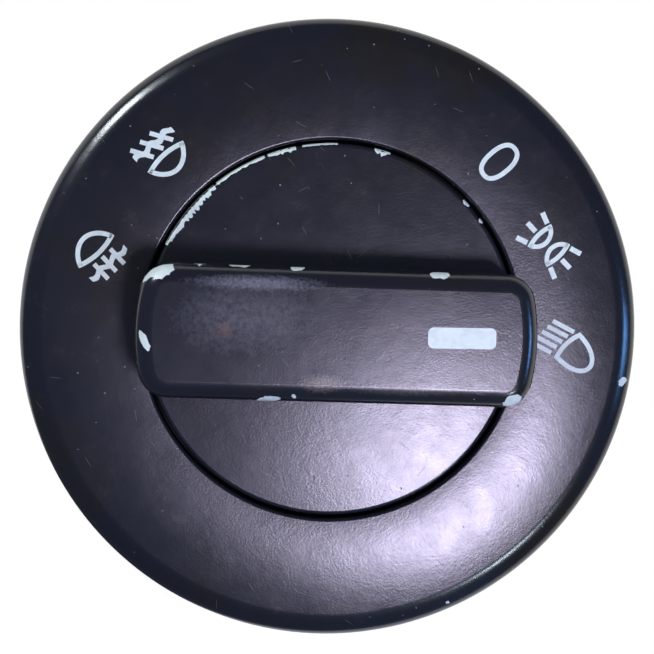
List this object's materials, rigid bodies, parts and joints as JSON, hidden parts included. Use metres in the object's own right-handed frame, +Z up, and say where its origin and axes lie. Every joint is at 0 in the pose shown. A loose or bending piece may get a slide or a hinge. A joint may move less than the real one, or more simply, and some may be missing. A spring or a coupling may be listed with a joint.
{
  "type": "headlight switch",
  "caption": "Round rotary headlight switch: dished symbol bezel, bar-grip knob that turns and pulls out, sliding panel latches, blade connector at the back.",
  "frame": {"origin": "on the switch axis, in the plane where the bezel and its plate meet the front of the dashboard panel", "axes": "+Y along the switch axis into the dashboard, so the face looks toward -Y; +Z up as installed; +X right as seen from the front"},
  "size_m": [0.072, 0.0615, 0.072],
  "materials": {
    "painted_knob": "black soft-gloss paint over white plastic",
    "painted_bezel": "black soft-gloss paint over white plastic",
    "black_housing": "moulded, fine spark texture",
    "clear_guide": "clear moulded acrylic",
    "circuit_board": "green solder mask",
    "white_lamp": "white package with a phosphor lens",
    "green_lamp": "white package with a green lens",
    "amber_lamp": "white package with an amber lens",
    "tinned_brass": "tinned, satin",
    "copper_track": "bare copper, satin",
    "spring_bronze": "stamped, bright",
    "spring_steel": "drawn wire and strip, bright",
    "natural_acetal": "moulded, natural white",
    "black_acetal": "moulded, smooth",
    "grey_shaft": "glass-filled nylon, grey"
  },
  "bodies": {
    "housing": {"bezel": "painted_bezel", "light_guide": "clear_guide", "lamp_board": "circuit_board", "off_led": "white_lamp", "side_light_led": "white_lamp", "low_beam_led": "white_lamp", "front_fog_led": "green_lamp", "rear_fog_led": "amber_lamp", "lamp_link_pin_1": "tinned_brass", "lamp_link_pin_2": "tinned_brass", "collar_housing": "black_housing", "barrel_housing": "black_housing", "rear_cover": "black_housing", "contact_board": "circuit_board", "inner_contact_track": "copper_track", "middle_contact_track": "copper_track", "outer_contact_track": "copper_track", "fog_contact_rail_left": "tinned_brass", "fog_contact_rail_right": "tinned_brass", "terminal_1": "tinned_brass", "terminal_2": "tinned_brass", "terminal_3": "tinned_brass", "terminal_4": "tinned_brass", "terminal_5": "tinned_brass", "terminal_6": "tinned_brass", "terminal_7": "tinned_brass", "terminal_8": "tinned_brass", "terminal_9": "tinned_brass", "terminal_10": "tinned_brass", "detent_spring": "spring_steel", "release_spring": "spring_steel"},
    "rotor": {"rotor": "natural_acetal", "rotor_contact_bridge": "spring_bronze", "pull_detent_spring": "spring_steel", "push_return_spring": "spring_steel"},
    "knob": {"knob": "painted_knob", "shaft": "grey_shaft", "shaft_clip": "spring_steel"},
    "carriage": {"fog_carriage": "natural_acetal", "fog_contact_bridge": "spring_bronze"},
    "release_ring": {"release_ring": "black_acetal"},
    "latch_left": {"latch_left": "black_acetal"},
    "latch_right": {"latch_right": "black_acetal"}
  },
  "joints": [
    {"name": "knob_turn", "type": "hinge", "parent": "housing", "child": "rotor", "pos_m": [0, 0, 0], "axis": [0, -1, 0], "range_deg": [0, 45.5], "deforming": ["detent_spring"]},
    {"name": "knob_pull", "type": "slide", "parent": "rotor", "child": "knob", "axis": [0, -1, 0], "range_m": [-0.003, 0.007], "deforming": ["push_return_spring", "pull_detent_spring"]},
    {"name": "carriage_slide", "type": "slide", "parent": "housing", "child": "carriage", "axis": [0, -1, 0], "range_m": [-0.003, 0.007]},
    {"name": "release_turn", "type": "hinge", "parent": "housing", "child": "release_ring", "pos_m": [0, 0, 0], "axis": [0, -1, 0], "range_deg": [-18, 0], "stiffness_Nm_per_rad": 0.05, "deforming": ["release_spring"]},
    {"name": "latch_left_slide", "type": "slide", "parent": "housing", "child": "latch_left", "axis": [1, 0, 0], "range_m": [0, 0.00181]},
    {"name": "latch_right_slide", "type": "slide", "parent": "housing", "child": "latch_right", "axis": [-1, 0, 0], "range_m": [0, 0.00181]}
  ],
  "couplings": [
    {"joint": "carriage_slide", "follows": "knob_pull", "ratio": 1},
    {"joint": "latch_left_slide", "follows": "release_turn", "m_per_rad": -0.0057296},
    {"joint": "latch_right_slide", "follows": "release_turn", "m_per_rad": -0.0057296}
  ]
}
